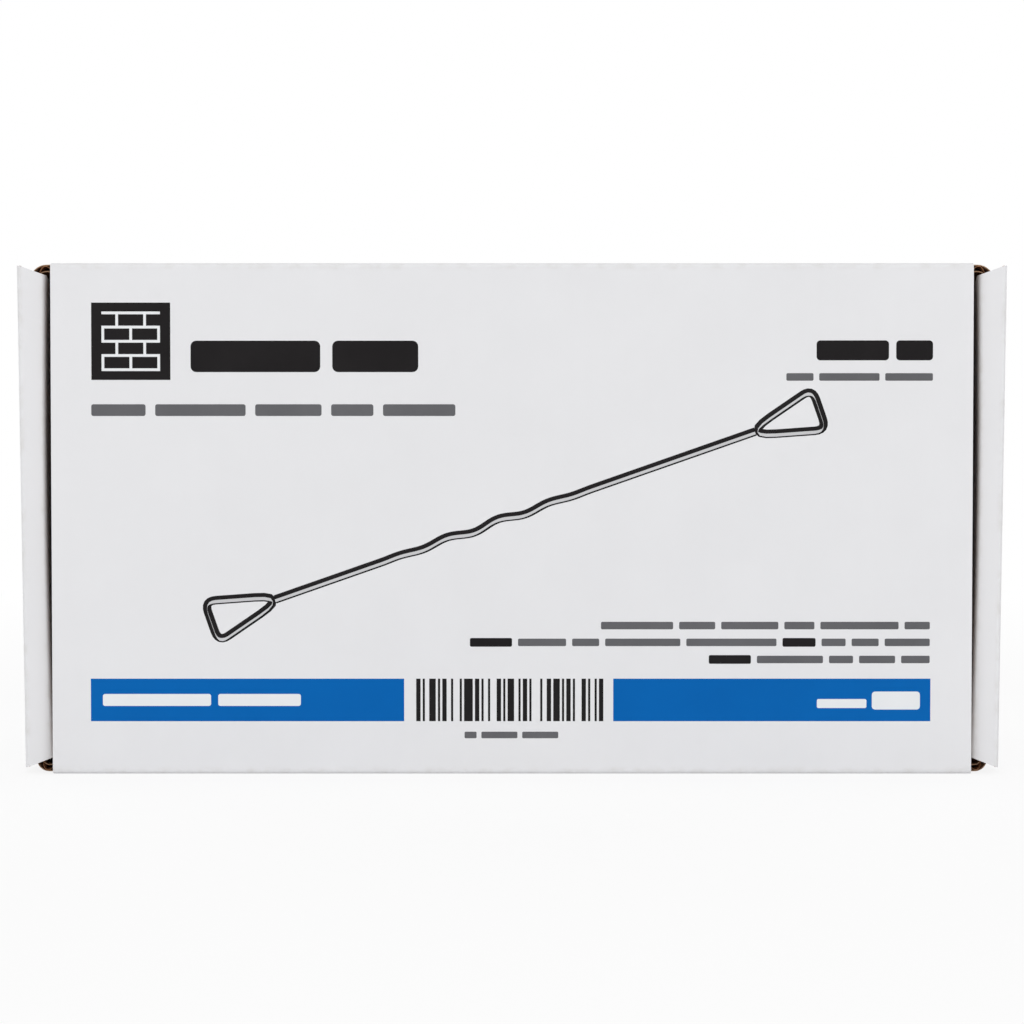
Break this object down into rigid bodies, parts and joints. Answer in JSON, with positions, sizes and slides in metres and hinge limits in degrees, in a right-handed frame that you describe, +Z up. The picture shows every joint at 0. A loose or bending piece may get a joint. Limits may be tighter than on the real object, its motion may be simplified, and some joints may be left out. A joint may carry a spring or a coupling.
{
  "type": "tuck-end corrugated carton",
  "caption": "White corrugated board carton: a glued tube lying on its side, with end flaps that roll over at the front and tuck in behind the printed panel.",
  "frame": {"origin": "centre of the base, on the surface that the carton stands on", "axes": "+X along the tube from the left end flap to the right one, +Y from the printed front panel to the back panel, +Z up"},
  "size_m": [0.3302, 0.12, 0.17],
  "materials": {
    "white_board": "matte"
  },
  "bodies": {
    "tube": {"carton_tube": "white_board"},
    "left_flap": {"left_end_flap": "white_board"},
    "right_flap": {"right_end_flap": "white_board"}
  },
  "joints": [
    {"name": "left_flap_crease", "type": "hinge", "parent": "tube", "child": "left_flap", "pos_m": [-0.16308, 0.05903, 0.085], "axis": [0.0124, 0, -0.9999], "range_deg": [0, 120]},
    {"name": "right_flap_crease", "type": "hinge", "parent": "tube", "child": "right_flap", "pos_m": [0.16308, 0.05903, 0.085], "axis": [0.0124, 0, 0.9999], "range_deg": [0, 120]}
  ]
}
